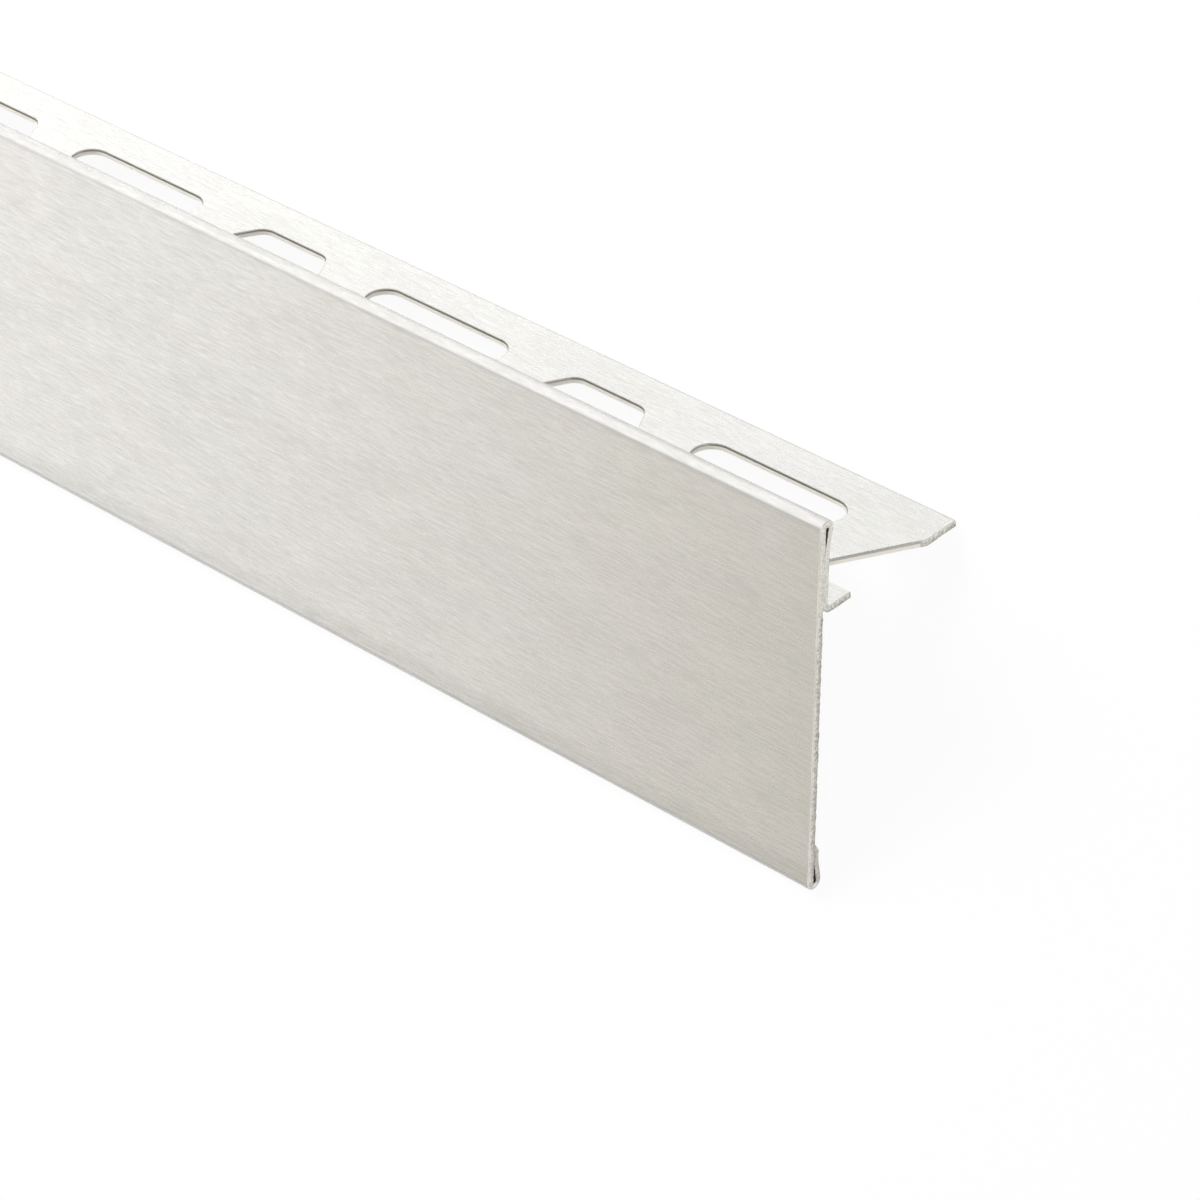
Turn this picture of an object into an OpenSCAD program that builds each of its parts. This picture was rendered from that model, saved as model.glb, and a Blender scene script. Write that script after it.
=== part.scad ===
// Tile edge trim: one strip of brushed stainless sheet, folded along its length.
// The strip starts at the free edge of the bottom hem, runs round the hem and up the
// visible face, turns over in the top hem, comes down behind the face and then bends
// away from it as a perforated leg. The bar lies as it comes to rest on a level floor:
// on the round of its bottom hem and on the outer edge of its leg, with the face on top.
// X runs along the bar. The origin is on the floor, under the middle of the bar.

/* [Bar] */
// Length of the bar
bar_l = 1000; // [300:50:2500]
// Thickness of the sheet
sheet_t = 1; // [0.8:0.1:1.2]

/* [Face] */
// Height of the face, over both hems
face_h = 60; // [50:1:100]
// Inside radius of the fold in each hem
hem_r = 0.3; // [0.25:0.05:0.5]
// Height of the bottom hem
hem_h = 7.5; // [6:0.5:15]
// Height of the bevel on the free edge of the bottom hem
hem_bevel_h = 1.4; // [0.6:0.1:2]
// Share of the sheet's thickness that the bevel takes
hem_bevel_share = 0.8; // [0.3:0.1:0.9]
// Inside radius of the bend where the folded layer, leaning in, comes flat against the face
lean_r = 4; // [1:0.5:5]
// Space between the layers where they are pressed together
press_gap = 0.1; // [0.05:0.05:0.2]

/* [Leg] */
// Height of the lip above the leg
lip_h = 13.7; // [8:0.1:22]
// Depth of the trim, from the face to the outer edge of the leg
trim_d = 29; // [28:0.5:45]
// Inside radius of the bend from the lip to the leg
leg_r = 0.5; // [0.3:0.1:1]

/* [Holes] */
// Distance from one hole to the next along the leg
hole_pitch = 30.7; // [29:0.1:40]
// Distance from the front end of the bar to the middle of the first slot
first_slot = 24.6; // [16:0.1:40]
// Width of the strip that is left outside the holes
outer_strip = 6.6; // [4:0.1:8]
// Length of a slot, over its round ends
slot_l = 25.8; // [15:0.1:30]
// Width of a slot
slot_w = 6.2; // [4:0.1:8]
// Length of a trapezoid hole on its outer side
trapezoid_outer_l = 12.6; // [10:0.1:16]
// Length of a trapezoid hole on its inner side
trapezoid_inner_l = 29.8; // [24:0.1:34]
// Width of a trapezoid hole, across the leg
trapezoid_w = 15.7; // [10:0.1:16]
// Radius of the corners of a trapezoid hole
trapezoid_r = 2.5; // [1:0.1:3]

/* [Hidden] */
$fn = 96;

// Heights of the leg, and radii of the strip's outer surface and middle line in a hem
leg_top = face_h - lip_h;
leg_base = leg_top - sheet_t;
fold_r = hem_r + sheet_t;
fold_mid_r = hem_r + sheet_t / 2;

// Each folded layer leans in to the face at a slope, given as way across and way down
lean_slope = [7, 24];
lean_deg = atan2(lean_slope[0], lean_slope[1]);

// The leaning layer crosses the hem's hollow, less the gap that stays open.
// The two bends at its ends take part of that way, and its flat takes the rest.
lean_way = 2 * hem_r - press_gap;
lean_mid_r = lean_r + sheet_t / 2;
lean_flat = (lean_way - (fold_mid_r + lean_mid_r) * (1 - cos(lean_deg))) / sin(lean_deg);
lean_h = (fold_mid_r + lean_mid_r) * sin(lean_deg) + lean_flat * cos(lean_deg);

// Flats of the strip, between the ends of its bends
hem_flat = hem_h - fold_r - lean_h;
face_flat = face_h - 2 * fold_r;
lip_flat = lip_h - fold_r - lean_h - leg_r;
leg_start = 2 * sheet_t + press_gap + leg_r;
leg_flat = trim_d - leg_start;

// The strip from end to end: length of a flat, turn after it and inside radius of that turn
STRIP = [
    [hem_flat, lean_deg, lean_r],
    [lean_flat, -180 - lean_deg, hem_r],
    [face_flat, -180 - lean_deg, hem_r],
    [lean_flat, lean_deg, lean_r],
    [lip_flat, 90, leg_r],
    [leg_flat, 0, leg_r],
];

// Resting place: the floor touches the round of the bottom hem and the lower outer edge of the leg
reach = [trim_d - fold_r, leg_base - fold_r];
rest_deg = atan2(reach[0], reach[1]) - asin(fold_r / norm(reach));
function rest_y(p) = p[0] * sin(rest_deg) + p[1] * cos(rest_deg);
function rest_z(p) = p[1] * sin(rest_deg) - p[0] * cos(rest_deg);
back_y = rest_y([fold_r, fold_r]) - fold_r;
front_y = max(rest_y([trim_d, leg_top]), rest_y([fold_r, face_h - fold_r]) + fold_r);
floor_z = rest_z([trim_d, leg_base]);

// Rows of holes share their outer side. Slots have even numbers and trapezoids odd ones,
// and the trapezoid before the first slot is the one that the front end of the bar cuts.
holes_outer = trim_d - outer_strip;
first_hole = -1;
last_hole = ceil((bar_l - first_slot) / hole_pitch);
cut_over = sheet_t;

function unit(v) = v / norm(v);
function corner_half_angle(p, q, s) = acos(unit(p - q) * unit(s - q)) / 2;
function corner_tangent(p, q, s, r) = q + unit(p - q) * r / tan(corner_half_angle(p, q, s));
function corner_centre(p, q, s, r) =
    q + unit(unit(p - q) + unit(s - q)) * r / sin(corner_half_angle(p, q, s));

// A bend of the strip: the part of a ring between the line where the strip enters and the line
// where it leaves. What lies behind the first line and past the second one is cut away.
module bend(deg, inside_r) {
    outside_r = inside_r + sheet_t;
    guard = 2 * outside_r;
    difference() {
        circle(r = outside_r);
        circle(r = inside_r);
        if (abs(deg) > 180)
            intersection() {
                behind_line(guard);
                past_line(deg, guard);
            }
        else {
            behind_line(guard);
            past_line(deg, guard);
        }
    }
}

module behind_line(guard) {
    translate([-guard, -guard]) square([guard, 2 * guard]);
}

module past_line(deg, guard) {
    rotate(deg) translate([0, -guard]) square([guard, 2 * guard]);
}

// The strip seen from its end, walked flat by flat. It lies to the right of the way it is walked.
module folded(strip, i = 0) {
    flat_l = strip[i][0];
    deg = strip[i][1];
    inside_r = strip[i][2];
    turn_y = deg > 0 ? inside_r : -sheet_t - inside_r;
    translate([0, -sheet_t]) square([flat_l, sheet_t]);
    if (i + 1 < len(strip))
        translate([flat_l, turn_y]) {
            bend(deg, inside_r);
            rotate(deg) translate([0, -turn_y]) folded(strip, i + 1);
        }
}

// The section with its face on the line of zero depth and its bottom hem at zero height
module section() {
    hem_end = [2 * sheet_t + press_gap, hem_h];
    translate(hem_end)
        difference() {
            rotate(-90) folded(STRIP);
            bevel_cut([hem_bevel_share * sheet_t, hem_bevel_h]);
        }
}

// What a bevel takes off the corner at the origin. It starts a little outside of both sides.
module bevel_cut(legs) {
    over = legs / 10;
    polygon([
        [-legs[0] - over[0], over[1]],
        [over[0], -legs[1] - over[1]],
        over,
    ]);
}

module slot_outline() {
    end_x = (slot_l - slot_w) / 2;
    translate([-end_x, -slot_w / 2]) square([2 * end_x, slot_w]);
    for (side = [-1, 1])
        translate([side * end_x, 0]) circle(d = slot_w);
}

// A polygon with the same radius on each of its corners
module rounded_outline(corners, r) {
    n = len(corners);
    before = [for (i = [0:n - 1]) corners[(i + n - 1) % n]];
    after = [for (i = [0:n - 1]) corners[(i + 1) % n]];
    polygon([
        for (i = [0:n - 1])
            each [
                corner_tangent(before[i], corners[i], after[i], r),
                corner_tangent(after[i], corners[i], before[i], r)
            ]
    ]);
    for (i = [0:n - 1])
        translate(corner_centre(before[i], corners[i], after[i], r)) circle(r = r);
}

module trapezoid_outline() {
    rounded_outline([
        [-trapezoid_inner_l / 2, -trapezoid_w / 2],
        [trapezoid_inner_l / 2, -trapezoid_w / 2],
        [trapezoid_outer_l / 2, trapezoid_w / 2],
        [-trapezoid_outer_l / 2, trapezoid_w / 2],
    ], trapezoid_r);
}

// Slots and trapezoids by turns along the leg, as far as the bar goes
module leg_holes() {
    for (i = [first_hole:last_hole]) {
        is_slot = i % 2 == 0;
        hole_w = is_slot ? slot_w : trapezoid_w;
        hole_x = bar_l / 2 - first_slot - i * hole_pitch;
        translate([hole_x, holes_outer - hole_w / 2, leg_base - cut_over])
            linear_extrude(sheet_t + 2 * cut_over)
                if (is_slot) slot_outline();
                else trapezoid_outline();
    }
}

module edge_trim() {
    color([0.78, 0.77, 0.75])
        translate([0, -(back_y + front_y) / 2, -floor_z])
            rotate([rest_deg - 90, 0, 0])
                difference() {
                    translate([-bar_l / 2, 0, 0])
                        rotate([90, 0, 90])
                            linear_extrude(bar_l) section();
                    leg_holes();
                }
}

edge_trim();
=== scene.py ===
# %% [markdown]
# # A tile edge trim, folded from one blank
# The real trim starts as a flat strip of brushed stainless sheet. A press punches the holes, and rollers
# then fold the strip along its length into hems, a lip and a leg. This lesson does the same with numpy:
# it lays out the flat blank with its holes, and one function folds every point of it at once.
# The frame comes first, because it says how long the bar is and where it lies.

# %% Load the frame
import math

import bpy
import numpy as np
from mathutils import Matrix, Vector


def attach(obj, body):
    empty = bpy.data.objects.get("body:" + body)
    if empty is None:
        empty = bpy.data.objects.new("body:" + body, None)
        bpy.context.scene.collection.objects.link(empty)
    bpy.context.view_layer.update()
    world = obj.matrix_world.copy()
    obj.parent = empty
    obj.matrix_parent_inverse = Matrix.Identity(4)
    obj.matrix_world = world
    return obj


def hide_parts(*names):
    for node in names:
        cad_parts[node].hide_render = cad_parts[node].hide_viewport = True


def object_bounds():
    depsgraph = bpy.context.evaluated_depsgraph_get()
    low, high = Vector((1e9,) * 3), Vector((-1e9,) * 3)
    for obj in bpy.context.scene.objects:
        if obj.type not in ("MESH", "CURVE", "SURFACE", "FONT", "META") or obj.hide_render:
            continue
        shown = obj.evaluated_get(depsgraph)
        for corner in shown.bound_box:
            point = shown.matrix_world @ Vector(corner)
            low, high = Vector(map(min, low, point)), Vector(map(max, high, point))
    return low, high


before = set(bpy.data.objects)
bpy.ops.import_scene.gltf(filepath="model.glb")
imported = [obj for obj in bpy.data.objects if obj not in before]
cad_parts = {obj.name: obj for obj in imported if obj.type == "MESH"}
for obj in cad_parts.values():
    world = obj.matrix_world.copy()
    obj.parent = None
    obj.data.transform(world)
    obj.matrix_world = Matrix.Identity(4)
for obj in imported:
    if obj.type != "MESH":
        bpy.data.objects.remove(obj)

cad_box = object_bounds()
MM = 0.001
bar_l = round((cad_box[1].x - cad_box[0].x) / MM)
print("bar of", bar_l, "mm, nodes:", sorted(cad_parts))

# %% [markdown]
# ## The folded strip
# A folded sheet is easiest to describe as a walk: go straight, turn, go straight, turn. The walk starts at
# the free edge of the bottom hem and ends at the outer edge of the leg. Both hems close as a drop:
# the sheet turns by more than half a circle, leans in to the face and then lies flat against it.
# The same few sizes give every flat, so nothing in the section is drawn by eye.

# %% Sizes of the strip, in millimetres
sheet_t = 1.0
face_h = 60.0
hem_h = 7.5
hem_bevel_h = 1.4
hem_bevel_t = 0.8
hem_r = 0.3
lean_r = 4.0
lean = math.radians(10)
press_gap = 0.02
lip_h = 13.7
leg_r = 0.5
trim_d = 29.0

fold_r = hem_r + sheet_t
lean_reach = hem_r + lean_r + sheet_t
lean_flat = (2 * hem_r - press_gap - lean_reach * (1 - math.cos(lean))) / math.sin(lean)
lean_h = lean_reach * math.sin(lean) + lean_flat * math.cos(lean)
pressed_d = 2 * sheet_t + press_gap
leg_top = face_h - lip_h

# Each row: length of a flat, turn after it (left is positive) and inside radius of that turn
WALK = [
    (hem_h - fold_r - lean_h, lean, lean_r),
    (lean_flat, -math.pi - lean, hem_r),
    (face_h - 2 * fold_r, -math.pi - lean, hem_r),
    (lean_flat, lean, lean_r),
    (lip_h - fold_r - lean_h - leg_r, math.pi / 2, leg_r),
    (trim_d - pressed_d - leg_r, 0, leg_r),
]


# %% Walk the strip once
def left_of(heading):
    """The direction to the left of a heading: a quarter turn on from it."""
    return np.stack([-np.sin(heading), np.cos(heading)], axis=-1)


def ahead_of(heading):
    """The direction of a heading: its cosine and its sine."""
    return np.stack([np.cos(heading), np.sin(heading)], axis=-1)


def stretches(walk, point, heading):
    """Flats and bends in order. A row holds where the stretch starts across the blank, its base point, its
    heading there, how far its bend's axis lies to the left, and its turn for each millimetre.
    The base point is the start of a flat, or the axis of a bend."""
    rows = []
    across = 0.0
    for flat, turn, inside_r in walk:
        rows.append((across, *point, heading, 0.0, 0.0))
        across += flat
        point = point + flat * ahead_of(heading)
        if turn:
            axis = inside_r if turn > 0 else -sheet_t - inside_r
            length = abs(turn) * (inside_r + sheet_t / 2)
            centre = point + axis * left_of(heading)
            rows.append((across, *centre, heading, axis, turn / length))
            across += length
            heading += turn
            point = centre - axis * left_of(heading)
    return np.array(rows), across


STRETCHES, blank_w = stretches(WALK, np.array([pressed_d, hem_h]), -math.pi / 2)
START = STRETCHES[:, 0]
# Rows 3 to 6 are the bottom fold, the face, the top fold and the flat after it. Row 9 is the leg's bend.
hem_fold_from, face_from, face_to, top_fold_to = START[3:7]
LEG_BEND = 9
lip_to, leg_from = START[LEG_BEND:LEG_BEND + 2]
print(f"the blank is {blank_w:.2f} mm wide, and its leg starts at {leg_from:.2f} mm")


# %% [markdown]
# ## Folding and laying down
# The blank has three coordinates: along the bar, across the strip, and down into the sheet from its
# brushed side. Folding leaves the first alone and turns the other two into depth and height.
# The folded bar then lies as it would on a floor: on the round of its bottom hem and on the outer edge
# of its leg. That angle follows from the sizes, just as it does in the solid model.

# %% Fold and lay down whole arrays
def fold(across, down):
    """A point of the blank in the section. On a flat it runs straight on from the base point. In a bend it
    keeps its distance from the bend's axis while the heading turns. Going down moves it to the right."""
    which = np.searchsorted(START, across, side="right") - 1
    start, base_d, base_h, heading, axis, curl = np.moveaxis(STRETCHES[np.maximum(which, 0)], -1, 0)
    run = across - start
    angle = heading + curl * run
    straight = np.where(curl == 0, run, 0)[..., None] * ahead_of(angle)
    return np.stack([base_d, base_h], axis=-1) + straight - (axis + down)[..., None] * left_of(angle)


reach = np.array([trim_d - fold_r, leg_top - sheet_t - fold_r])
rest = math.atan2(*reach) - math.asin(fold_r / np.linalg.norm(reach))
UPRIGHT_TO_LYING = np.array([
    [1, 0, 0],
    [0, math.sin(rest), math.cos(rest)],
    [0, -math.cos(rest), math.sin(rest)],
])


def corner(depth, height):
    """A point of the upright section, turned to its resting angle about the bar's own line."""
    return UPRIGHT_TO_LYING @ np.array([0, depth, height])


hem_side = corner(fold_r, fold_r)[1] - fold_r
leg_side = max(corner(trim_d, leg_top)[1], corner(fold_r, face_h - fold_r)[1] + fold_r)
LIFT = np.array([0, -(hem_side + leg_side) / 2, -corner(trim_d, leg_top - sheet_t)[2]])


def lay_down(upright):
    """Points of the upright bar in the frame, in metres: turned to rest, then set on the floor."""
    return (upright @ UPRIGHT_TO_LYING.T + LIFT) * MM


def formed(along, across, down):
    """Points of the blank, folded and laid down."""
    section = fold(across, down)
    return lay_down(np.stack([along, section[..., 0], section[..., 1]], axis=-1))


print(f"the face lies at {math.degrees(rest):.2f} degrees to the floor")

# %% [markdown]
# ## Camera
# The photograph looks at the near end of an upright bar, from the front, from the right and from above.
# The view was found by lining up the bar's edges and holes, so it is given as turn, lift and distance from
# the upper front corner of that end, with the place of this corner in the picture. The face's flat stops
# a little before the cut, where the bevel of the cut begins, and that is the corner that was lined up.
# The bar lies down here, and the camera turns with it, so the picture keeps the photograph's view of it.

# %% Place the camera
PICTURE_PX = 1200
SENSOR_MM = 36.0
view_turn = math.radians(41.452)
view_lift = math.radians(34.988)
view_roll = math.radians(0.096)
view_distance = 582.5
focal_px = 4564.2
corner_px = np.array([819.4, 524.6])
corner_before_cut = 0.35

back = np.array([
    math.sin(view_turn) * math.cos(view_lift),
    -math.cos(view_turn) * math.cos(view_lift),
    math.sin(view_lift),
])
level = np.array([math.cos(view_turn), math.sin(view_turn), 0.0])
rise = np.cross(back, level)
right = math.cos(view_roll) * level + math.sin(view_roll) * rise
up = math.cos(view_roll) * rise - math.sin(view_roll) * level
offset_px = corner_px - PICTURE_PX / 2
near_corner = np.array([bar_l / 2 - corner_before_cut, 0, face_h])
to_corner = (offset_px[0] * right - offset_px[1] * up) * view_distance / focal_px - view_distance * back
camera_axes = UPRIGHT_TO_LYING @ np.stack([right, up, back], axis=1)

camera_data = bpy.data.cameras.new("camera")
camera_data.sensor_width = SENSOR_MM
camera_data.lens = focal_px * SENSOR_MM / PICTURE_PX
camera_data.clip_start = 0.01
camera_data.clip_end = 50
camera = bpy.data.objects.new("camera", camera_data)
placed = np.eye(4)
placed[:3, :3] = camera_axes
placed[:3, 3] = lay_down(near_corner - to_corner)
camera.matrix_world = Matrix(placed.tolist())
bpy.context.scene.collection.objects.link(camera)
bpy.context.scene.camera = camera
print("camera at", np.round(placed[:3, 3], 3), "m, lens", round(camera_data.lens, 1), "mm")

# %% [markdown]
# ## Holes in the leg
# A press punches the leg by turns with a round-ended slot and with a trapezoid, so that mortar can grip it.
# A boolean cut would do this too, but its loose triangles shade badly. Here a circle is carried from corner
# to corner of a four-sided shape, and its outer side draws the hole. With a circle as wide as the shape,
# the same rule draws the slot.

# %% Shape of a hole
hole_pitch = 30.7
first_slot = 24.6
outer_strip = 6.6
slot_l = 25.8
slot_w = 6.2
trapezoid_outer_l = 12.6
trapezoid_inner_l = 29.8
trapezoid_w = 15.7
trapezoid_r = 2.5
holes_outer = leg_from + trim_d - outer_strip - pressed_d - leg_r


def four_sided(inner_l, outer_l, width, radius):
    """A hole's corner circles and the way that each of its sides faces. Sides go round to the left from the
    inner one. Each circle's centre lies inside its corner, one radius away from both of the sides there."""
    ends = np.array([[-inner_l, -width], [inner_l, -width], [outer_l, 0], [-outer_l, 0]])
    corners = ends * [0.5, 1] + [0, holes_outer]
    sides = np.roll(corners, -1, axis=0) - corners
    facing = np.unwrap(np.arctan2(-sides[:, 0], sides[:, 1]))
    after = ahead_of(facing)
    before = np.roll(after, 1, axis=0)
    inset = radius * (before + after) / (1 + np.sum(before * after, axis=1, keepdims=True))
    return corners - inset, facing, radius


SLOT = four_sided(slot_l, slot_l, slot_w, slot_w / 2)
TRAPEZOID = four_sided(trapezoid_inner_l, trapezoid_outer_l, trapezoid_w, trapezoid_r)
print("corner circles of a trapezoid:", np.round(TRAPEZOID[0] - [0, leg_from], 2).tolist())


# %% Draw an outline by a carried circle
SAMPLE_L = 3.0
SAMPLE_TURN = math.radians(8)


def carried_circle(stops, angles, radius, count):
    """Points on an outline, and the ways out of the hole there. The circle turns at each stop, then moves on
    to the next one: a point is the centre plus one radius along the angle. Points are even in length plus
    turn."""
    stops = np.repeat(stops, 2, axis=0)
    angles = np.repeat(angles, 2)[1:-1]
    moves = np.linalg.norm(np.diff(stops, axis=0), axis=1)
    turns = np.abs(np.diff(angles))
    effort = np.append(0, np.cumsum((moves + radius * turns) / SAMPLE_L + turns / SAMPLE_TURN))
    at = np.linspace(0, effort[-1], count + 1)
    outward = ahead_of(np.interp(at, effort, angles))
    centre = np.stack([np.interp(at, effort, stops[:, 0]), np.interp(at, effort, stops[:, 1])], axis=-1)
    return centre + radius * outward, outward


print(f"{SAMPLE_L} mm of way take as many points as {math.degrees(SAMPLE_TURN):.0f} degrees of turn")

# %% [markdown]
# ## Cells of the blank
# A mesh with holes is clean when its lines run round each hole. So the leg is divided into one cell for each
# hole, and each cell is a net between the outline and the cell's own border. The first lines go round the
# rim, which the punch has drawn in a little. The bar's ends cut through a hole, so the two end cells are
# nets between the cut edge and the border of the next cell.

# %% Rims and nets
RIM_TURN = np.radians([0, 30, 60, 90])
RIM_STEPS = np.linspace(0, 1, len(RIM_TURN))
HOLD = 1.5
ROUND_AWAY = np.append(1 - np.cos(RIM_TURN), HOLD)
ROUND_DROP = np.append(1 - np.sin(RIM_TURN), 0)
BEVEL_AWAY = np.append(RIM_STEPS, HOLD)
BEVEL_DROP = np.append(1 - RIM_STEPS, 0)
BLEND = np.array([1, 2, 3]) / 3
hole_rim = 0.2
edge_rim = 0.25
end_rim = 0.15
border_outer = blank_w - HOLD * edge_rim
edge_count = 10
side_count = 26


def net_from_edge(edge, inward, away, drop, border):
    """A net from a cut edge to a border. The first lines go away from the edge and up to the flat of the
    sheet, as the rim's profile says. The last lines divide the rest of the way evenly."""
    near = edge + away[:, None, None] * inward
    far = near[-1] + BLEND[:, None, None] * (border - near[-1])
    down = np.append(drop, 0 * BLEND)
    down = np.broadcast_to(down[:, None, None], (len(down), len(edge), 1))
    return np.concatenate([np.concatenate([near, far]), down], axis=-1)


def punched_cell(hole_x, shape, half_w):
    """A net round one hole. Each side of the cell looks at the outline between two half corners."""
    centres, facing, radius = shape
    turns = np.diff(facing, append=facing[0] + 2 * math.pi)
    box = np.array([
        [-half_w, leg_from],
        [half_w, leg_from],
        [half_w, border_outer],
        [-half_w, border_outer],
    ])
    nets = []
    for side, count in enumerate([edge_count, side_count] * 2):
        ends = [side, (side + 1) % 4]
        angles = facing[side] + np.array([-turns[side - 1] / 2, 0, turns[side] / 2])
        outline, outward = carried_circle(centres[ends], angles, radius, count)
        border = np.linspace(*box[ends], count + 1)
        net = net_from_edge(outline, outward, hole_rim * ROUND_AWAY, hole_rim * ROUND_DROP, border)
        nets.append(net + [hole_x, 0, 0])
    return nets


print(f"rims of {hole_rim} mm at the holes and of {edge_rim} mm at the outer edge, in {len(RIM_TURN)} lines")


# %% End cells
END_SHARE = 0.75


def end_cell(hole_x, shape, half_w):
    """A net from the bar's right end to the next cell. Its edge goes up the end, round the hole, and on up
    the end. A corner that the end cuts into is left out, so the side before it runs straight on. Where two
    stretches of edge meet, the way into the sheet is the mitre of theirs."""
    centres, facing, radius = shape
    end_x = bar_l / 2 - hole_x
    inner, outer = centres[0], centres[3]
    last_angle = math.pi / 2
    if end_x < outer[0]:
        last_angle = facing[3]
        straight_on = (end_x - radius * math.cos(last_angle) - inner[0]) / (outer[0] - inner[0])
        outer = inner + straight_on * (outer - inner)
    stops = np.array([[end_x, inner[1]], inner, outer, [max(end_x, outer[0]), outer[1]]])
    angles = [facing[0] + 2 * math.pi] * 2 + [facing[3]] + [last_angle] * 2
    tips = np.stack([stops[0], outer]) + radius * ahead_of(np.array([angles[0], last_angle]))
    flats = np.abs(tips[:, 1] - [leg_from, border_outer])
    low, high = (END_SHARE * side_count * flats / (border_outer - leg_from)).astype(int)
    notch, outward = carried_circle(stops, angles, radius, side_count - low - high)
    into_end = np.array([-1.0, 0.0])
    ways = outward[[0, -1]]
    outward[[0, -1]] = (ways + into_end) / (1 + ways @ into_end)[:, None]
    below = np.linspace([end_x, leg_from], tips[0], low + 1)[:-1]
    above = np.linspace(tips[1], [end_x, border_outer], high + 1)[1:]
    edge = np.concatenate([below, notch, above])
    inward = np.concatenate([np.tile(into_end, (low, 1)), outward, np.tile(into_end, (high, 1))])
    border = np.linspace([-half_w, leg_from], [-half_w, border_outer], side_count + 1)
    return net_from_edge(edge, inward, end_rim * BEVEL_AWAY, end_rim * BEVEL_DROP, border) + [hole_x, 0, 0]


print("the straight parts of a cut end get", END_SHARE, "of their even share of lines")


# %% Cells along the leg
# A trapezoid's cell is wider than a slot's, so that the web between them stays about as wide in both cells
slot_cell = 28.4
last_hole = math.ceil((bar_l - first_slot) / hole_pitch)
holes = np.arange(-1, last_hole + 1)
hole_xs = bar_l / 2 - first_slot - hole_pitch * holes
is_slot = holes % 2 == 0
half_ws = np.where(is_slot, slot_cell / 2, hole_pitch - slot_cell / 2)
shapes = [SLOT if slot else TRAPEZOID for slot in is_slot]
nets = []
for hole_x, shape, half_w in zip(hole_xs[1:-1], shapes[1:-1], half_ws[1:-1]):
    nets.extend(punched_cell(hole_x, shape, half_w))
nets.append(end_cell(hole_xs[0], shapes[0], half_ws[0]))
nets.append(end_cell(-hole_xs[-1], shapes[-1], half_ws[-1]) * [-1, 1, 1])
print(len(holes) - 2, "whole holes and 2 cut ones")

# %% [markdown]
# ## The long nets
# The hems, the face and the lip are plain along the bar, so their net has few lines across the length and
# many along it: close lines in the bends, and lines every half millimetre on the flats, which give the cut
# ends something to be rough with. The leg's bend and outer edge take the closer cross lines of the cells.
# A row of triangles on the flat lip leads from the one spacing to the other.

# %% Lines across the length
cell_sides = np.sort(hole_xs[1:] + half_ws[1:])


def lines_along(stations, run, depth):
    """Where the cross lines lie and how far the sheet drops there. Each end has the lines of its bevel."""
    left = -bar_l / 2 + run[:, None] * BEVEL_AWAY
    drop = depth[:, None] * BEVEL_DROP
    middle = np.broadcast_to(stations, (len(run), len(stations)))
    along = np.concatenate([left, middle, -left[:, ::-1]], axis=1)
    return along, np.concatenate([drop, 0 * middle, drop[:, ::-1]], axis=1)


def long_net(across, edge_drop, stations, run=end_rim, depth=end_rim):
    """A net of lines along and across. Where the bevel of an end meets a long edge, the deeper one counts."""
    along, end_drop = lines_along(
        stations, np.broadcast_to(run, across.shape), np.broadcast_to(depth, across.shape)
    )
    across = np.broadcast_to(across[:, None], along.shape)
    return np.stack([along, across, np.maximum(end_drop, edge_drop[:, None])], axis=-1)


def fine_lines():
    """Cross lines as close as the cells have them, and the end cells' own lines up to their borders."""
    inside = np.linspace(cell_sides[:-1], cell_sides[1:], edge_count + 1).ravel()
    rim_end = bar_l / 2 - HOLD * end_rim
    right_end = rim_end + BLEND * (cell_sides[-1] - rim_end)
    left_end = -rim_end + BLEND * (cell_sides[0] + rim_end)
    return np.unique(np.round(np.concatenate([left_end, inside, right_end]), 9))


print(len(cell_sides), "sides of cells along the bar")


# %% Lines along the bar
FLAT_STEP = 0.5
BEND_STEP = math.radians(11)


def lines_across(first, last):
    """Lines from one stretch of the strip to another: each bend and each flat is divided evenly."""
    lengths = np.diff(np.append(START, blank_w))
    turns = np.abs(STRETCHES[:, 5]) * lengths
    counts = np.ceil(np.where(turns > 0, turns / BEND_STEP, lengths / FLAT_STEP)).astype(int)
    parts = [START[i] + lengths[i] * np.arange(counts[i]) / counts[i] for i in range(first, last)]
    return np.append(np.concatenate(parts), START[last])


print("lines every", FLAT_STEP, "mm on the flats")

# %% Bevel of the hem's free edge
# The bevel is a little hollow: its depth goes with a power of the way to its end
hem_bevel_lines = 6
hem_bevel_power = 1.2
spread_from = lip_to - 3 * FLAT_STEP
hem_lines = np.linspace(0, hem_bevel_h, hem_bevel_lines)
upper = lines_across(0, LEG_BEND)
upper = upper[(upper > hem_bevel_h + FLAT_STEP / 2) & (upper < spread_from)]
upper = np.concatenate([hem_lines, upper, [spread_from]])
upper_drop = hem_bevel_t * np.clip(1 - upper / hem_bevel_h, 0, 1) ** hem_bevel_power
print(len(upper), "lines along the bar from the hem to the lip")

# %% Bevel of the sawn end
# The saw leaves an uneven bevel along the end of the face, and it has worn most at the lower corner
BEVEL_KNOTS = 30
bevel_run = 0.24
bevel_depths = (0.22, 0.36)
worn_run = 0.08
worn_h = 3.0
seeded = np.random.default_rng(7)
knots = np.linspace(face_from, face_to, BEVEL_KNOTS)
uneven = np.interp(upper, knots, seeded.uniform(*bevel_depths, BEVEL_KNOTS))
on_face = np.interp(upper, [face_from - 1, face_from, face_to, face_to + 1], [0, 1, 1, 0])
worn = np.interp(upper, [face_from, face_from + worn_h], [worn_run, 0])
run_by_line = end_rim + on_face * (bevel_run + worn - end_rim)
depth_by_line = end_rim + on_face * (uneven - end_rim)
print(f"bevels up to {run_by_line.max():.2f} mm long and {depth_by_line.max():.2f} mm deep")

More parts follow.
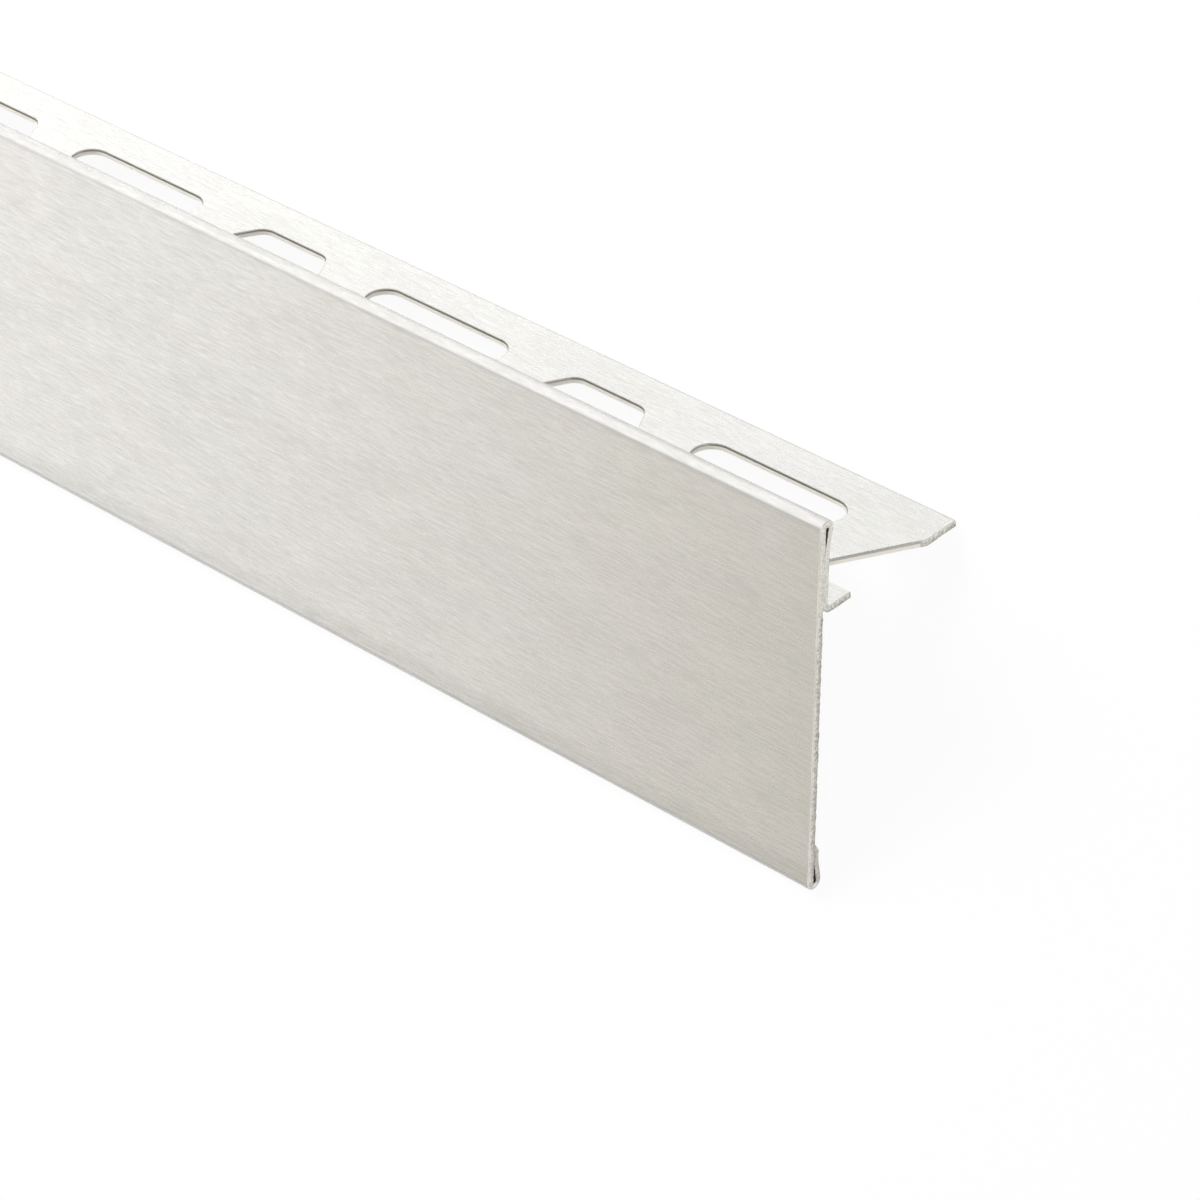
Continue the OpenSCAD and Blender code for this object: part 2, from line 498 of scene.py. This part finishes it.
# %% Lay the long nets
bend = lines_across(LEG_BEND, LEG_BEND + 1)
outer = blank_w - edge_rim * ROUND_AWAY[::-1]
close = fine_lines()
nets.append(long_net(upper, upper_drop, cell_sides, run_by_line, depth_by_line))
nets.append(long_net(bend, 0 * bend, close))
nets.append(long_net(outer, edge_rim * ROUND_DROP[::-1], close))
print("points of the three long nets:", [net.shape[:2] for net in nets[-3:]])


# %% From wide spacing to close spacing
def spread(wide, close):
    """Triangles between two lines of points. A close step is joined to the nearer end of the wide step that
    it lies in, and each wide step is joined to the point where that changes."""
    middle = (close[1:, 0] + close[:-1, 0]) / 2
    step = np.searchsorted(wide[:, 0], middle) - 1
    half = (wide[1:, 0] + wide[:-1, 0]) / 2
    nearer = wide[step + (middle >= half[step])]
    change = close[np.searchsorted(middle, half)]
    return np.concatenate([
        np.stack([nearer, close[:-1], close[1:]], axis=1),
        np.stack([wide[:-1], change, wide[1:]], axis=1),
    ])


wide_line = long_net(np.array([spread_from]), np.zeros(1), cell_sides)[0]
close_line = long_net(np.array([lip_to]), np.zeros(1), close)[0]
triangles = spread(wide_line, close_line)
print(len(triangles), "triangles in the row between the spacings")

# %% [markdown]
# ## One closed sheet
# All the nets are laid on one blank, and points that fall together become one. Its brushed side and its back
# are the same net, one sheet thickness apart. An edge that belongs to only one mesh of the net is a cut edge,
# so a wall closes it. The ends were cut with a saw, so their walls are a little rough, and where the sheet is
# single the saw has pushed a burr over its back.

# %% Join the nets into a blank
WELD = 1e-4


def brushed_side_up(corners):
    """Meshes whose corners go round to the left, seen from the brushed side. The others are turned round."""
    first = corners[:, 2, :2] - corners[:, 0, :2]
    second = corners[:, -1, :2] - corners[:, 1, :2]
    turned = first[:, 0] * second[:, 1] < first[:, 1] * second[:, 0]
    return np.where(turned[:, None, None], corners[:, ::-1], corners)


def meshes_of(net):
    """The four corners of every mesh of a net."""
    corners = np.stack([net[:-1, :-1], net[:-1, 1:], net[1:, 1:], net[1:, :-1]], axis=2)
    return corners.reshape(-1, 4, 3)


quads = brushed_side_up(np.concatenate([meshes_of(net) for net in nets]))
triangles = brushed_side_up(triangles)
loose = np.concatenate([quads.reshape(-1, 3), triangles.reshape(-1, 3)])
_, first_at, index = np.unique(np.round(loose[:, :2] / WELD), axis=0, return_index=True, return_inverse=True)
blank = loose[first_at]
index = index.ravel()
quads = index[:quads.size // 3].reshape(-1, 4)
triangles = index[-(triangles.size // 3):].reshape(-1, 3)
print(len(blank), "points on each side of the blank")

# %% Find the cut edges
# Each mesh goes round to the left, so an edge inside the net is walked once in either direction
steps = np.concatenate([
    np.stack([faces, np.roll(faces, -1, axis=1)], axis=-1).reshape(-1, 2) for faces in (quads, triangles)
])
code = steps @ [len(blank), 1]
cut = steps[~np.isin(steps @ [1, len(blank)], code)]
on_edge = np.unique(cut)
place = np.zeros(len(blank), int)
place[on_edge] = np.arange(len(on_edge))
print(len(cut), "cut edges")

# %% Rough walls and burrs
WALL_STEPS = 4
saw_rough = 0.06
burr = 0.16
clear_of_bend = 1.0
hem_top = face_from + hem_h - fold_r
leg_foot = face_from + leg_top - sheet_t - fold_r

share = np.arange(WALL_STEPS + 1)[:, None] / WALL_STEPS
edge_points = blank[on_edge]
wall = np.tile(edge_points, (WALL_STEPS + 1, 1, 1))
wall[:, :, 2] += share * (sheet_t - edge_points[:, 2])
at_end = np.abs(edge_points[:, 0]) > bar_l / 2 - WELD
wall[:, :, 0] -= np.sign(wall[:, :, 0]) * at_end * saw_rough * seeded.random(wall.shape[:2])
across_edge = edge_points[:, 1]
bare = (across_edge > hem_top) & (across_edge < leg_foot) | (across_edge > leg_from + clear_of_bend)
pushed = np.zeros(wall.shape)
pushed[:, :, 2] = share * burr * (at_end & bare) * seeded.random(len(on_edge)) ** 2
print(f"burrs up to {pushed.max():.2f} mm, roughness up to {saw_rough} mm")

# %% Close the cut edges
front = blank.copy()
back_side = blank * [1, 1, 0] + [0, 0, sheet_t]
front[on_edge] = wall[0]
back_side[on_edge] = wall[-1]

inner_count = (WALL_STEPS - 1) * len(on_edge)
levels = np.empty((WALL_STEPS + 1, len(on_edge)), int)
levels[0] = on_edge
levels[1:-1] = 2 * len(blank) + np.arange(inner_count).reshape(WALL_STEPS - 1, -1)
levels[-1] = len(blank) + on_edge
start, stop = levels[:, place[cut[:, 0]]], levels[:, place[cut[:, 1]]]
walls = np.stack([stop[:-1], start[:-1], start[1:], stop[1:]], axis=-1).reshape(-1, 4)
print(len(walls), "meshes in the walls")

# %% Fold the blank into the bar
SHARP = math.radians(40)
sheet_points = np.concatenate([front, back_side, wall[1:-1].reshape(-1, 3)])
shaped = sheet_points.copy()
shaped[len(blank) + on_edge] += pushed[-1]
shaped[2 * len(blank):] += pushed[1:-1].reshape(-1, 3)
faces = [quads, quads[:, ::-1] + len(blank), walls, triangles, triangles[:, ::-1] + len(blank)]
mesh = bpy.data.meshes.new("edge_trim_sheet")
mesh.from_pydata(formed(*shaped.T), [], [corners for part in faces for corners in part.tolist()])
mesh.attributes.new("blank", "FLOAT_VECTOR", "POINT").data.foreach_set("vector", sheet_points.ravel())
mesh.shade_smooth()
mesh.set_sharp_from_angle(angle=SHARP)
mesh.validate(verbose=True)
trim = bpy.data.objects.new("edge_trim_sheet", mesh)
bpy.context.scene.collection.objects.link(trim)
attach(trim, "root")
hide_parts("edge_trim")
mesh.calc_loop_triangles()
print(len(mesh.vertices), "points,", len(mesh.loop_triangles), "triangles")

# %% [markdown]
# ## Writing a finish as sums
# A finish is a graph of nodes, and a graph is hard to read as code. One small class helps: it holds a socket,
# and adding or multiplying two of them adds the Math node. Every other kind of node comes from one method,
# which takes the kind, its settings and what goes into its sockets.

# %% A wire between nodes
class Wire:
    """A value in a node graph. Sums and products of wires and numbers add Math nodes."""

    def __init__(self, tree, socket=None):
        self.tree = tree
        self.socket = socket

    def node(self, kind, settings, sockets, output=0):
        """Adds a node, sets its settings, then fills its sockets with numbers, colours or wires."""
        made = self.tree.nodes.new("ShaderNode" + kind)
        for name, value in settings.items():
            setattr(made, name, value)
        for name, value in sockets.items():
            if isinstance(value, Wire):
                self.tree.links.new(value.socket, made.inputs[name])
            else:
                made.inputs[name].default_value = value
        return Wire(self.tree, made.outputs[output] if made.outputs else None)

    def maths(self, operation, *values):
        """A Math node with this operation on these values."""
        return self.node("Math", {"operation": operation}, dict(enumerate(values)))

    def __add__(self, other):
        return self.maths("ADD", self, other)

    def __radd__(self, other):
        return self.maths("ADD", other, self)

    def __sub__(self, other):
        return self.maths("SUBTRACT", self, other)

    def __rsub__(self, other):
        return self.maths("SUBTRACT", other, self)

    def __mul__(self, other):
        return self.maths("MULTIPLY", self, other)

    def __rmul__(self, other):
        return self.maths("MULTIPLY", other, self)

    def ramp(self, low, high, to_low=0.0, to_high=1.0):
        """Goes straight from one value to another while this wire goes from low to high, and stays there."""
        sockets = {1: low, 2: high, 3: to_low, 4: to_high}
        return self.node("MapRange", {"clamp": True}, {0: self, **sockets})

    def band(self, rise_from, rise_to, fall_from, fall_to):
        """One between two values of this wire. It rises from nothing before them and falls after them."""
        return self.ramp(rise_from, rise_to) * self.ramp(fall_from, fall_to, 1.0, 0.0)

    def blend(self, colour_a, colour_b):
        """A colour between two others, with this wire as the share of the second."""
        return self.node("Mix", {"data_type": "RGBA"}, {0: self, 6: colour_a, 7: colour_b}, 2)


def new_finish(name):
    """An empty material and a wire to write it with."""
    finish = bpy.data.materials.new(name)
    finish.use_nodes = True
    finish.node_tree.nodes.clear()
    return finish, Wire(finish.node_tree)


print("a wire can:", [name for name in vars(Wire) if not name.startswith("_")])

# %% [markdown]
# ## Brushed stainless steel
# The belt that brushed the strip ran along it before it was folded, so the strokes follow the blank and turn
# with the sheet in each fold. Each mesh point carries its place on the blank for that. Painted strokes would
# blur close by, so a stroke is noise that is stretched along the bar: short fine strokes, longer ones, and
# soft clouds under them.

# %% Noise on the blank
steel, graph = new_finish("brushed_stainless")
place_on_blank = graph.node("Attribute", {"attribute_name": "blank"}, {}, "Vector")
along, across, down = (graph.node("SeparateXYZ", {}, {0: place_on_blank}, axis) for axis in "XYZ")


def noise(x, y, layer):
    """Noise from 0 to 1 over a plane. Each layer has a pattern of its own."""
    point = graph.node("CombineXYZ", {}, {"X": x, "Y": y, "Z": layer})
    return graph.node("TexNoise", {}, {"Vector": point, "Scale": 1.0, "Detail": 2.0})


def strokes(length, width, layer):
    """Noise that changes over a length along the bar and over a width across it, in millimetres."""
    return noise(along * (1 / length), across * (1 / width), layer)


def grains(size, layer):
    """Noise of one size across the strip and down into the sheet, for the cut walls."""
    return noise(down * (1 / size), across * (1 / size), layer)


fine = strokes(length=2.2, width=0.25, layer=0.0)
middling = strokes(length=4.8, width=0.55, layer=20.0)
clouds = strokes(length=16.0, width=6.0, layer=40.0)
brushed = fine * 0.42 + middling * 0.38 + clouds * 0.2
warmth = strokes(length=24.0, width=9.0, layer=60.0).ramp(0.38, 0.62)
print("nodes for the noise:", len(steel.node_tree.nodes))

# %% [markdown]
# ## Where the steel changes
# The bends, a band along the foot of the face and, a little, the whole face towards its foot are darkened
# with painted shade. The punch drew the rims of the holes in, and painted shade makes those rims and the
# leg's outer edge darker. The back keeps the plain finish of the mill. Each such place is a mask, which is a
# wire that is one there and nothing elsewhere. Ramps over the place on the blank make the masks, so no image
# has to be painted.

# %% Tones of the brushed side
PALE_COOL = (0.878, 0.862, 0.85, 1)
PALE_WARM = (0.875, 0.864, 0.838, 1)
DARK_COOL = (0.764, 0.745, 0.733, 1)
DARK_WARM = (0.76, 0.749, 0.721, 1)
BLACK = (0, 0, 0, 1)
# Painted shade: how far the bends, the band along the foot of the face and the face towards its foot are
# darkened
lower_bend_shade = 0.25
upper_bend_shade = 0.42
foot_shade = 0.08
face_shade = 0.04

tone = brushed.ramp(0.37, 0.63)
brushed_colour = tone.blend(warmth.blend(DARK_COOL, DARK_WARM), warmth.blend(PALE_COOL, PALE_WARM))
lower_bend = across.band(hem_fold_from, hem_fold_from + 0.3, face_from - 0.1, face_from + 0.3)
upper_bend = across.band(face_to + 1.05, face_to + 1.7, top_fold_to - 0.3, top_fold_to)
foot_shade_band = across.ramp(face_from + 1.6, face_from + 4.0, foot_shade, 0.0)
shade_down_the_face = across.ramp(face_from, face_to, face_shade, 0.0)
# Painted shade: the bends and the lower face are blended towards black
painted_shade_mix = lower_bend * lower_bend_shade + upper_bend * upper_bend_shade + foot_shade_band + shade_down_the_face
painted_shade_colour = painted_shade_mix.blend(brushed_colour, BLACK)
print("steel from", DARK_WARM[:3], "to", PALE_COOL[:3])

# %% Rims and back
PUNCHED_RIM_SHADE = (0.56, 0.55, 0.53, 1)
SAWN_RIM = (0.64, 0.62, 0.57, 1)
MILL_FINISH = (0.80, 0.795, 0.78, 1)
outer_edge_shade_share = 0.7
saw_reach = 0.5
back_from = sheet_t - 0.015
back_to = sheet_t - 0.005

# Painted shade: the rims of the holes, the long cut edges and a line along the leg's outer edge are darker
outer_edge_shade = across.ramp(blank_w - 0.45, blank_w - 0.3, 0.0, outer_edge_shade_share)
rim = graph.maths("MAXIMUM", down.ramp(0.01, 0.05), outer_edge_shade)
sawn_from = bar_l / 2 - saw_reach
near_end = graph.maths("ABSOLUTE", along).ramp(sawn_from, sawn_from + 0.1)
back_face = down.ramp(back_from, back_to)
rim_colour = rim.blend(painted_shade_colour, near_end.blend(PUNCHED_RIM_SHADE, SAWN_RIM))
sheet_colour = back_face.blend(rim_colour, MILL_FINISH)
print("rims", PUNCHED_RIM_SHADE[:3], "and back", MILL_FINISH[:3])

# %% [markdown]
# ## Cut walls
# A punch shears the metal first and tears it then, so the wall of a hole is dark and smooth at its top, and
# pale, rough and half matt below. A saw leaves specks. They are dark where the sheet stood alone, with a
# scorched line at its back, and pale where two layers held each other. A painted glint brightens the tip of
# the bottom hem's cut. Both kinds of cut share one material with the sheet, so no seam in the mesh has to
# part them.

# %% Colours of the cut walls
SHEARED = (0.42, 0.39, 0.35, 1)
TORN = (0.90, 0.87, 0.80, 1)
SPECK = (0.43, 0.41, 0.37, 1)
PALE_SPECK = (0.64, 0.62, 0.57, 1)
SAWN = (0.90, 0.88, 0.83, 1)
SCORCH = (0.25, 0.23, 0.20, 1)
HEM_TIP_GLINT = (0.97, 0.96, 0.93, 1)
hem_paleness = 0.35
scorch_share = 0.35

cut_wall = down.band(end_rim - 0.01, hole_rim, back_from, back_to)
torn = down.ramp(0.34, 0.5)
punched_colour = torn.blend(SHEARED, TORN)
grain = grains(size=0.16, layer=80.0)
clumps = grains(size=0.5, layer=90.0)
speckle = (grain * 0.55 + clumps * 0.45).ramp(0.41, 0.59)
lip_end = across.band(leg_foot - 0.6, leg_foot + 1.4, lip_to, leg_from)
hem_end = across.ramp(hem_top - 0.6, hem_top + 0.2, hem_paleness, 0.0)
double_end = graph.maths("MAXIMUM", lip_end, hem_end)
sawn_colour = speckle.blend(double_end.blend(SPECK, PALE_SPECK), SAWN)
scorched = down.ramp(0.55, 0.95, 0.0, scorch_share) * (1 - double_end)
scorched_colour = scorched.blend(sawn_colour, SCORCH)
# Painted glint: the tip of the bottom hem's cut is blended towards near white
hem_tip_glint_mask = across.band(hem_fold_from + 0.4, hem_fold_from + 1.2, face_from - 1.2, face_from - 0.4)
end_colour = hem_tip_glint_mask.blend(scorched_colour, HEM_TIP_GLINT)
colour = cut_wall.blend(sheet_colour, near_end.blend(punched_colour, end_colour))
print("walls from", SHEARED[:3], "to", TORN[:3])

# %% Put the finish together
STROKE_HEIGHT = 0.000004
grain_height = 5.0
dark_stroke_rough = 0.31
pale_stroke_rough = 0.24
cut_rougher = 0.1
torn_rougher = 0.3
back_rougher = 0.06
torn_matt = 0.8

roughness = brushed.ramp(0.36, 0.64, dark_stroke_rough, pale_stroke_rough)
roughness = roughness + cut_wall * (torn * torn_rougher + cut_rougher) + back_face * back_rougher
height = (fine * 0.5 + middling * 0.5) * (1 - cut_wall) * (1 - back_face)
height = height + grain * near_end * cut_wall * grain_height
bumped = graph.node("Bump", {}, {"Strength": 1.0, "Distance": STROKE_HEIGHT, "Height": height})
metallic = 1 - torn_matt * (torn * cut_wall * (1 - near_end))
sockets = {"Base Color": colour, "Metallic": metallic, "Roughness": roughness, "Normal": bumped}
surface = graph.node("BsdfPrincipled", {}, sockets)
graph.node("OutputMaterial", {}, {"Surface": surface})
mesh.materials.append(steel)
print("finish:", steel.name, "with", len(steel.node_tree.nodes), "nodes")

# %% [markdown]
# ## Floor
# The floor is pale and plain. To the camera, most of it shines evenly white, and the rest is an ordinary matt
# floor that takes the bar's shadow. A brighter lamp would whiten the floor too, but it would bleach the
# steel. In the metal's reflections only a quarter shines, so the metal mirrors a lit floor and its shadows.

# %% Kinds of rays
def ray_is(graph, kind):
    """One for rays of a kind, and nothing for the others."""
    return graph.node("LightPath", {}, {}, f"Is {kind} Ray")


def seen_rays(graph):
    """One for a ray from the camera or from a shiny or clear surface. Nothing for one that gathers light."""
    seen = ray_is(graph, "Camera") + ray_is(graph, "Glossy") + ray_is(graph, "Transmission")
    return graph.maths("MINIMUM", seen, 1.0)


print("the floor and the studio tell seen rays from rays that gather light")

# %% Lay the floor
FLOOR_R = 12.0
FLOOR_SIDES = 96
floor_drop = 0.0002

around = np.linspace(0, 2 * math.pi, FLOOR_SIDES, endpoint=False)
rim_points = np.insert(FLOOR_R * ahead_of(around), 2, -floor_drop, axis=1)
floor_mesh = bpy.data.meshes.new("floor")
floor_mesh.from_pydata(rim_points, [], [list(range(FLOOR_SIDES))])
floor = bpy.data.objects.new("floor", floor_mesh)
bpy.context.scene.collection.objects.link(floor)
print("floor of radius", FLOOR_R, "m")

# %% Finish of the floor
FLOOR_TONE = (0.84, 0.85, 0.845, 1)
WHITE = (1, 1, 1, 1)
white_to_camera = 0.93
white_to_metal = 0.25

white_floor, graph = new_finish("white_floor")
more_to_camera = white_to_camera - white_to_metal
white_share = white_to_metal * seen_rays(graph) + more_to_camera * ray_is(graph, "Camera")
matt_floor = graph.node("BsdfDiffuse", {}, {"Color": FLOOR_TONE})
shine = graph.node("Emission", {}, {"Color": WHITE, "Strength": 1.0})
mixed = graph.node("MixShader", {}, {0: white_share, 1: matt_floor, 2: shine})
graph.node("OutputMaterial", {}, {"Surface": mixed})
floor_mesh.materials.append(white_floor)
print("the floor shines", white_to_camera, "to the camera and", white_to_metal, "to the metal")

# %% [markdown]
# ## Studio
# A metal shows what stands around it, so the studio is part of the finish. It could be built from panels, but
# round patches on the world are less work and have soft borders. This studio is a white tent with one grey
# opening in front, a little to the left of the bar and above it. The face looks towards the edge of that
# opening, so it is grey at the near end and pales along the bar. A grey flap higher up darkens the start of
# the top fold, and a brighter panel at the left gives the fold its glint. Shades overhead, behind and past
# the far end keep the steel grey when it is seen from other sides. The camera itself sees plain white.

# %% Put up the tent
TENT = (1.12, 1.12, 1.11, 1)
OPENING = (0.42, 0.385, 0.30, 1)
FLAP = (0.45, 0.45, 0.44, 1)
PANEL = (1.30, 1.30, 1.28, 1)
SHADE = (0.60, 0.60, 0.59, 1)
ambient = 0.3

world = bpy.data.worlds.new("studio")
world.use_nodes = True
world.node_tree.nodes.clear()
graph = Wire(world.node_tree)
way = graph.node("TexCoord", {}, {}, "Generated")


def patch(towards, outer_deg, inner_deg):
    """A round patch of the tent: nothing past the outer angle from its middle, one inside the inner angle."""
    nearness = graph.node("VectorMath", {"operation": "DOT_PRODUCT"}, {0: way, 1: towards}, "Value")
    return nearness.ramp(math.cos(math.radians(outer_deg)), math.cos(math.radians(inner_deg)))


opening = patch((-0.155, -0.895, 0.42), outer_deg=31.3, inner_deg=16)
flap = patch((-0.33, -0.5, 0.8), outer_deg=27, inner_deg=8)
panel = patch((-0.85, 0.2, 0.49), outer_deg=27, inner_deg=12)
overhead = patch((0.25, 0.15, 0.95), outer_deg=32, inner_deg=12)
behind = patch((0.68, 0.55, 0.48), outer_deg=34, inner_deg=12)
past_far_end = patch((-0.985, -0.15, 0.08), outer_deg=24, inner_deg=8)
shaded_tent = (overhead + behind + past_far_end).blend(TENT, SHADE)
tent_colour = opening.blend(flap.blend(panel.blend(shaded_tent, PANEL), FLAP), OPENING)
shown_colour = ray_is(graph, "Camera").blend(tent_colour, WHITE)
strength = ambient + (1 - ambient) * seen_rays(graph)
sky = graph.node("Background", {}, {"Color": shown_colour, "Strength": strength})
graph.node("OutputWorld", {}, {"Surface": sky})
bpy.context.scene.world = world
print("studio of", len(world.node_tree.nodes), "nodes")

# %% [markdown]
# ## Lamps
# The tent alone would leave the floor flat, so three lamps light it: a softbox from the left, a softbox
# from behind the camera, and a spot on the floor behind the bar, which the leg mirrors. The metal doesn't
# mirror the lamps themselves, or their square outlines would show on it.

# %% Set up the lamps
bar_end = (0.4, 0.0, 0.0)
way_back = 0.8
behind_camera = placed[:3, 3] + way_back * camera_axes[:, 2]


def lamp_on_stand(name, kind, at, towards, watts):
    """A lamp that looks at a point. It lights the floor, and the metal does not mirror it."""
    lamp = bpy.data.lights.new(name, kind)
    lamp.energy = watts
    stand = bpy.data.objects.new(name, lamp)
    stand.location = at
    stand.rotation_mode = "QUATERNION"
    stand.rotation_quaternion = (Vector(towards) - Vector(at)).to_track_quat("-Z", "Y")
    stand.visible_glossy = False
    bpy.context.scene.collection.objects.link(stand)
    return lamp


softbox_left = lamp_on_stand("softbox_left", "AREA", (-0.3, 0.45, 0.9), bar_end, watts=10.5)
softbox_left.size = 0.8
softbox_front = lamp_on_stand("softbox_front", "AREA", behind_camera, bar_end, watts=9)
softbox_front.size = 0.5
spot_behind = lamp_on_stand("spot_behind", "SPOT", (-0.3, 0.6, 0.9), (-0.06, 0.12, 0.0), watts=38)
spot_behind.spot_size = math.radians(48)
spot_behind.spot_blend = 0.25
spot_behind.shadow_soft_size = 0.15
bpy.context.scene.view_settings.view_transform = "Standard"
print("lamps:", [lamp.name for lamp in bpy.data.lights])

# %% [markdown]
